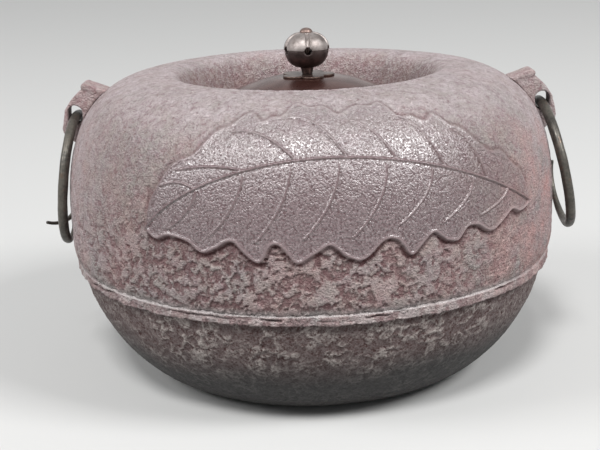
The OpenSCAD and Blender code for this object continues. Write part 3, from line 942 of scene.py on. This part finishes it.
def addUpperCasting():
    s = upperShape
    crust, brim, rust, dustyAndLit = s["crust"], s["brim"], s["rust"], s["dustAndLight"]
    line, kinds = upperLine()
    first, last = s["leafArc"]
    front, rest = np.arange(first, last, s["leafStep"]), np.arange(last, first + 360, s["restStep"])
    angles = np.concatenate([front, rest])
    rows, cols = len(line), len(angles)
    points = turned(line, angles)
    z = points[:, 2]
    column = np.tile(np.where(angles > 180, angles - 360, angles), rows)
    kind = np.repeat(kinds, cols)
    onSkin, onMouth, onFace, onLip = (kind == name for name in ("skin", "mouth", "brim", "lip"))
    # the leaf lies on the skin above the belly
    along = np.r_[0, np.cumsum(np.hypot(*np.diff(line, axis=0).T))]
    skinRows = np.flatnonzero(kinds == "skin")
    belly = skinRows[np.argmin(np.abs(line[skinRows, 1] - s["bellyZ"]))]
    above = np.repeat(along - along[belly], cols)
    unroll = math.radians(1) * line[belly, 0]  # mm for each degree
    middle, half, lowest = leafShape["patch"]
    patch = onSkin & (above > lowest) & (np.abs(column - middle) < half)
    leafFields = np.zeros((5, len(points)))
    leafFields[:, patch] = leafRelief(column[patch], above[patch], unroll)
    relief, leaf, rib, wearAndHighlight, creaseAndShade = leafFields
    # the crust has flaked most below the leaf, and the skin on the right is sound
    weight = np.repeat([s["rough"][name] for name in kinds], cols)
    flaky = twoGrains(warped(points, *crust["ragged"], 40), *crust["flakes"], (2, 3))
    flake = smoothStep(*crust["edge"], flaky)
    reach, size = crust["drift"]
    zone = 1 - smoothStep(*crust["zone"], z + reach * grain(points, size, 9))
    aside = smoothStep(*s["sideArc"], np.abs(column))
    sound = crust["soundRight"] * smoothStep(*crust["soundArc"], column)
    sound = np.maximum(crust["soundSides"] * aside, sound)
    zone = (crust["least"] + (1 - crust["least"]) * zone) * (1 - leaf) * (1 - sound) * weight
    height, size = s["uneven"]
    wide = height * grain(points, size, 1)
    height, size = s["grain"]
    coarse = crust["thick"] * (flake - crust["level"]) * zone + height * grain(points, size, 4) * weight
    push = weight * wide + coarse + relief
    # the brim is broken off unevenly, with slits and pale chips along its face
    face, faceDirtAndShade, lip, bright, chips = brimWear(line, kinds, angles, points)
    push += np.where(onFace, face, 0)
    push += np.where(onLip, lip, 0)
    lipZ = line[kinds == "lip", 1].max()
    flare = np.where(onSkin, 1 - smoothStep(0, brim["flare"], z - lipZ), 0)
    bright = bright * (1 - brim["lipFade"] * smoothStep(*brim["lipArc"], np.abs(column)))
    plain, onChip = brim["faceWorn"]
    # painted highlight with wear on the lip and the skin just above it
    wearAndHighlight = np.maximum(wearAndHighlight, np.where(onLip, bright, brim["flareWearAndHighlight"] * bright * flare))
    wearAndHighlight = np.maximum(wearAndHighlight, np.where(onFace, plain + onChip * chips, 0))
    # paler crust tops: wear and painted highlight
    wearAndHighlight = np.maximum(wearAndHighlight, crust["wearAndHighlight"] * smoothStep(*crust["wearAndHighlightFrom"], flaky) * zone)
    mesh = pushed(line, angles, push.reshape(rows, cols), True)
    faces = gridFaces(rows, cols, True)
    obj = addPiece("upperCasting", mesh, faces, "kettle", looks["upper"], ["upper_body"])
    # fields of the material
    *arc, share = s["leafRub"]
    rubbed = leaf * (1 - share * smoothStep(*arc, column))
    wellR, crestR = s["wellR"] + s["mouthFade"], s["crestR"] - s["mouthFade"]
    inMouth = 1 - smoothStep(wellR, crestR, np.hypot(points[:, 0], points[:, 1]))
    # pit tone where the crust has flaked, dirt and painted shade in the brim's slits, painted shade inside
    # the mouth
    low = (1 - flake) * zone * (1 - brim["flareClean"] * flare) + np.where(onFace, faceDirtAndShade, 0)
    low += np.where(onMouth, s["mouthShade"] * inMouth, 0)
    redSide = smoothStep(*rust["rightArc"], column) * (1 - smoothStep(*rust["rightZone"], z))
    rusty = rust["all"] + rust["sides"] * aside + rust["right"] * redSide
    rusty = rusty * (1 - rust["leafLess"] * leaf * (1 - redSide))
    rusty = rusty * (1 - rust["topLess"] * smoothStep(*rust["topZone"], z))
    # pale dust and painted light, lighter on the top and the sides
    dustAndLight = dustyAndLit["sides"] * aside * smoothStep(*dustyAndLit["sideZone"], z)
    dustAndLight = np.maximum(dustyAndLit["top"] * smoothStep(*dustyAndLit["topZone"], z), dustAndLight)
    dustAndLight *= np.where(onMouth, 1 - dustyAndLit["mouthLess"] * inMouth, 1) * (1 - dustyAndLit["rightLess"] * redSide)
    dustAndLight = dustAndLight * (1 - dustyAndLit["leafLess"] * leaf) * (onSkin | onMouth)
    rib, wearAndHighlight, low = (np.clip(values, 0, 1) for values in (rib, wearAndHighlight, low))
    addFields(obj, {
        "leaf": rubbed, "rib": rib, "creaseAndShade": creaseAndShade, "wearAndHighlight": wearAndHighlight, "low": low, "rusty": rusty, "dustAndLight": dustAndLight,
    })


addUpperCasting()


# replaced bowl with its crust
lowerShape = {
    "bowlOut": 0.5,
    "footR": 77.4,
    "bowlN": 1.58,
    "wall": 5.2,
    "floorT": 5.2,
    "lapH": 9.0,
    "lacquer": 1.0,
    "step": 0.36,  # degrees
    "uneven": (0.4, 36),  # height and size of the broad lumps
    "grain": (0.2, 2.2),
    "crust": 0.75,  # height of its worm-like ridges
    "crustLevel": 0.4,  # share of it that lies below the plain skin
    "worms": ((5.0, 2.4), 0.5),  # sizes, share of the finer ones
    "wormRagged": (4.0, 2.0),
    "wormWidth": 0.24,
    "wormLeast": 0.35,
    "wormPatches": (11, -0.6, 0.3),  # size and range
    "calmArc": (28, 62),  # degrees where the crust fades towards the sides
    "calmSides": 0.6,
    "smoothZone": (21.0, 47.0),  # mm, heights between which smooth iron gives way to crust
    "smoothDrift": (5, 20),
    "smoothInside": 0.3,
    "smoothLess": 0.8,  # crust that the smooth iron lacks
    "fade": (6, 2.5),  # mm from the foot and from the brim
}


def addLowerBowl():
    s = lowerShape
    low, high = corners("upper_body")
    brimZ, innerR = low[2], high[0] - upperShape["wall"]
    lapR, bowlR = innerR - s["lacquer"], innerR + s["bowlOut"]
    lapInR, lapZ = lapR - s["wall"], brimZ + s["lapH"]
    floorR, floorZ = s["footR"] - s["wall"], s["floorT"]
    line = np.concatenate([
        evenly([(axisR, 0), (s["footR"] - 1, 0)], 3.0),
        evenly(quarter((bowlR, brimZ - 0.05), (s["footR"], 0), s["bowlN"])[::-1], 0.65),
        evenly([(lapR + 0.3, brimZ), (lapR, brimZ + 0.5)], 0.5),
        evenly([(lapR, brimZ + 1.5), (lapR, lapZ)], 2.5),
        evenly([(lapR - 1, lapZ), (lapInR, lapZ)], 2.0),
        evenly([(lapInR, lapZ - 1), (lapInR, brimZ + 1)], 2.5),
        evenly(quarter((lapInR, brimZ), (floorR, floorZ), s["bowlN"]), 2.5),
        evenly([(floorR - 2, floorZ), (axisR, floorZ)], 3.0),
    ])
    angles = np.arange(0, 360, s["step"])
    rows, cols = len(line), len(angles)
    points = turned(line, angles)
    z = points[:, 2]
    outside = (np.arange(rows) < np.argmax(line[:, 1] >= brimZ)) & (line[:, 1] > 0.05)
    isOut = np.repeat(outside, cols)
    reach, size = s["smoothDrift"]
    smooth = 1 - smoothStep(*s["smoothZone"], z + reach * grain(points, size, 11))
    smooth = np.where(isOut, smooth, s["smoothInside"])
    wander = twoGrains(warped(points, *s["wormRagged"], 50), *s["worms"], (12, 13))
    size, *span = s["wormPatches"]
    patches = s["wormLeast"] + (1 - s["wormLeast"]) * smoothStep(*span, grain(points, size, 16))
    turn = np.where(angles > 180, angles - 360, angles)
    calm = np.tile(1 - s["calmSides"] * smoothStep(*s["calmArc"], np.abs(turn)), rows)
    worm = bell(wander, 0, s["wormWidth"]) * patches * calm
    height, size = s["grain"]
    crust = s["crust"] * (worm - s["crustLevel"]) + height * grain(points, size, 14)
    foot, brim = s["fade"]
    fade = np.where(isOut, smoothStep(0, foot, z) * smoothStep(0, brim, brimZ - z), 0.0)
    height, size = s["uneven"]
    push = fade * (crust * (1 - s["smoothLess"] * smooth) + height * grain(points, size, 15))
    mesh = pushed(line, angles, push.reshape(rows, cols), False)
    faces = gridFaces(rows, cols, False)
    obj = addPiece("lowerBowl", mesh, faces, "kettle", looks["lower"], ["lower_body"])
    addFields(obj, {"smooth": smooth, "worm": worm})


addLowerBowl()


# open rings forged from round bar, hanging in the ears
ringShape = {
    "radius": 34.4,
    "wire": 2.6,
    "tip": 0.9,
    "curl": 5.2,  # how far a tip turns inwards
    "curlPower": 6,  # higher keeps the turn closer to the tip
    "hookPower": 4,
    "hammer": (0.10, 7),  # depth and size of the dents
    "rows": 320,
    "sides": 28,
    "roundEnd": (0.3, 0.62, 0.86, 0.97),
    # degrees where the tails start and how long they are, mm that their ends hook outwards
    "left": {
        "side": -1, "lean": 6.874, "start": 10, "startTail": 90, "startHook": 15,
        "finish": 240, "finishTail": 37, "finishHook": 0,
    },
    "right": {
        "side": 1, "lean": 12.474, "start": 50, "startTail": 37, "startHook": 0,
        "finish": 255, "finishTail": 90, "finishHook": 4,
    },
}


def ringPath(one):
    # centre line and radius of the bar, angles from the back over the top to the front
    s = ringShape
    angle = np.linspace(one["start"] - one["startTail"], one["finish"] + one["finishTail"], s["rows"])
    first = np.clip((one["start"] - angle) / one["startTail"], 0, 1)
    last = np.clip((angle - one["finish"]) / one["finishTail"], 0, 1)
    r = s["radius"] - s["curl"] * (first ** s["curlPower"] + last ** s["curlPower"])
    turn = np.radians(angle)
    out = one["startHook"] * first ** s["hookPower"] + one["finishHook"] * last ** s["hookPower"]
    path = np.stack([out, r * np.cos(turn), r * np.sin(turn) - s["radius"]], 1)
    bar = s["wire"] + (s["tip"] - s["wire"]) * (first + last)
    return path, bar


def closeEnds(obj):
    shape = bmesh.new()
    shape.from_mesh(obj.data)
    rims = [edge for edge in shape.edges if edge.is_boundary]
    bmesh.ops.holes_fill(shape, edges=rims, sides=0)
    bmesh.ops.recalc_face_normals(shape, faces=shape.faces)
    shape.to_mesh(obj.data)
    shape.free()
    obj.data.shade_smooth()


def addRing(name):
    s, one = ringShape, ringShape[name]
    path, bar = ringPath(one)
    lean = math.radians(one["lean"])
    out, back, up = path.T
    swung = np.stack([
        one["side"] * (out * math.cos(lean) - up * math.sin(lean)),
        back,
        out * math.sin(lean) + up * math.cos(lean),
    ], 1)
    centre = swung + jointPlace(name + "_ring_swing")
    way = np.gradient(centre, axis=0)
    way /= np.linalg.norm(way, axis=1)[:, None]
    # rounded ends
    ends = np.array(s["roundEnd"])
    head = centre[0] - way[0] * bar[0] * np.sqrt(1 - ends ** 2)[:, None]
    tail = centre[-1] + way[-1] * bar[-1] * np.sqrt(1 - ends[::-1] ** 2)[:, None]
    centre = np.concatenate([head, centre, tail])
    bar = np.concatenate([bar[0] * ends, bar, bar[-1] * ends[::-1]])
    way = np.concatenate([np.repeat(way[:1], len(ends), 0), way, np.repeat(way[-1:], len(ends), 0)])
    # round section
    flat = np.array([one["side"] * math.cos(lean), 0, math.sin(lean)])
    other = np.cross(way, flat)
    other /= np.linalg.norm(other, axis=1)[:, None]
    third = np.cross(other, way)
    turn = (np.arange(s["sides"]) * 2 * math.pi / s["sides"])[None, :, None]
    outward = np.cos(turn) * third[:, None, :] + np.sin(turn) * other[:, None, :]
    points = centre[:, None, :] + bar[:, None, None] * outward
    deep, size = s["hammer"]
    dents = deep * grain(points.reshape(-1, 3), size, 21).reshape(len(bar), s["sides"])
    points = points + (dents * np.minimum(1, bar / s["wire"])[:, None])[:, :, None] * outward
    points = points.reshape(-1, 3)
    faces = gridFaces(len(bar), s["sides"], False)
    obj = addPiece(name + "Ring", points, faces, name + "_ring", looks["ring"], ["ring_" + name])
    closeEnds(obj)


addRing("left")
addRing("right")


# pieces cast as one with soft edges: remeshed from the frame's own solids
earCast = {
    "body": "kettle", "slot": "upper_iron", "look": "upper", "voxel": 0.50, "soften": 9, "rough": 0.14,
    "fields": {"dustAndLight": 0.28, "rusty": 0.5, "rib": 0.45, "low": 0.35},
}
knobCast = {"body": "lid", "voxel": 0.20, "rough": 0.02, "fields": {}}
castPieces = {
    "leftEar": {"node": "ear_left", **earCast},
    "rightEar": {"node": "ear_right", **earCast},
    "knobCrown": {
        "node": "knob_crown", "slot": "knob_bronze", "look": "crownBronze", "soften": 10, **knobCast,
    },
    "knobCup": {"node": "knob_cup", "slot": "knob_bronze", "look": "cupBronze", "soften": 6, **knobCast},
    "knobSeat": {"node": "knob_seat", "slot": "seat_bronze", "look": "seatBronze", "soften": 5, **knobCast},
}
castLumps = ((5, 2.4), 0.6)  # sizes in mm, share of the finer ones


def addCastPiece(name):
    s = castPieces[name]
    rough = bpy.data.objects.new(name + "Rough", frame["nodes"][s["node"]].data.copy())
    scene.collection.objects.link(rough)
    remesh = rough.modifiers.new("remesh", "REMESH")
    remesh.mode = "VOXEL"
    remesh.voxel_size = s["voxel"] * mm
    soften = rough.modifiers.new("soften", "SMOOTH")
    soften.iterations = s["soften"]
    soften.factor = 0.5
    bpy.context.view_layer.update()
    mesh = bpy.data.meshes.new_from_object(rough.evaluated_get(bpy.context.evaluated_depsgraph_get()))
    bpy.data.objects.remove(rough)
    mesh.name = name
    points, normals = np.zeros((2, len(mesh.vertices) * 3), np.float32)
    mesh.vertices.foreach_get("co", points)
    mesh.vertex_normals.foreach_get("vector", normals)
    points = points.reshape(-1, 3) / mm
    lumps = s["rough"] * twoGrains(points, *castLumps, (31, 32))
    points = points + lumps[:, None] * normals.reshape(-1, 3)
    mesh.vertices.foreach_set("co", (points * mm).astype(np.float32).ravel())
    mesh.update()
    mesh.shade_smooth()
    obj = bpy.data.objects.new(name, mesh)
    finishPiece(obj, s["body"], looks[s["look"]], [s["node"]])
    addFields(obj, {key: np.full(len(points), value) for key, value in s["fields"].items()})


for key in castPieces:
    addCastPiece(key)


# domed lid with a flat land under the knob
lidShape = {
    "dome": 98.4,
    "thick": 2.2,
    "land": 15.6,
    "landMiddle": 6,
    "edge": 0.7,
    "soft": 0.4,  # kept off each corner
    "domeRows": 40,
    "edgeRows": 10,
    "step": 1.5,  # degrees
}


def addLid():
    s = lidShape
    low, high = corners("lid_plate")
    lidR = high[0]
    half = s["thick"] / 2
    rimZ = low[2] + s["thick"]
    middle = rimZ - math.sqrt(s["dome"] ** 2 - lidR ** 2)

    def dome(first, last, depth):
        r = np.linspace(first, last, s["domeRows"])
        return np.stack([r, middle + np.sqrt(s["dome"] ** 2 - r ** 2) - depth], 1)

    landZ = middle + math.sqrt(s["dome"] ** 2 - s["land"] ** 2)
    underZ = landZ - s["thick"]
    landR, domeIn, domeOut = s["land"] - s["soft"], s["land"] + s["soft"], lidR - s["edge"] - s["soft"]
    t = np.linspace(0, math.pi, s["edgeRows"])
    edge = np.stack([lidR - s["edge"] + s["edge"] * np.sin(t), rimZ - half + half * np.cos(t)], 1)
    line = np.concatenate([
        [(axisR, landZ), (s["landMiddle"], landZ), (landR, landZ)],
        dome(domeIn, domeOut, 0),
        edge,
        dome(domeOut, domeIn, s["thick"]),
        [(landR, underZ), (s["landMiddle"], underZ), (axisR, underZ)],
    ])[::-1]
    angles = np.arange(0, 360, s["step"])
    points = turned(line, angles)
    faces = gridFaces(len(line), len(angles), False)
    addPiece("lidDome", points, faces, "lid", looks["lidBronze"], ["lid_plate"])


addLid()


# nodes that keep their own shape get their finish
plainNodes = {"seam_lacquer": "lacquer", "knob_rivet": "rivetCopper", "rivet_washer": "rivetCopper"}
for number in range(1, 6):
    plainNodes[f"sounding_plate_{number}"] = "plateIron"
    plainNodes[f"plate_lacquer_{number}"] = "lacquer"
for name, look in plainNodes.items():
    for slot in frame["nodes"][name].material_slots:
        slot.material = looks[look]
print("plain nodes:", len(plainNodes))
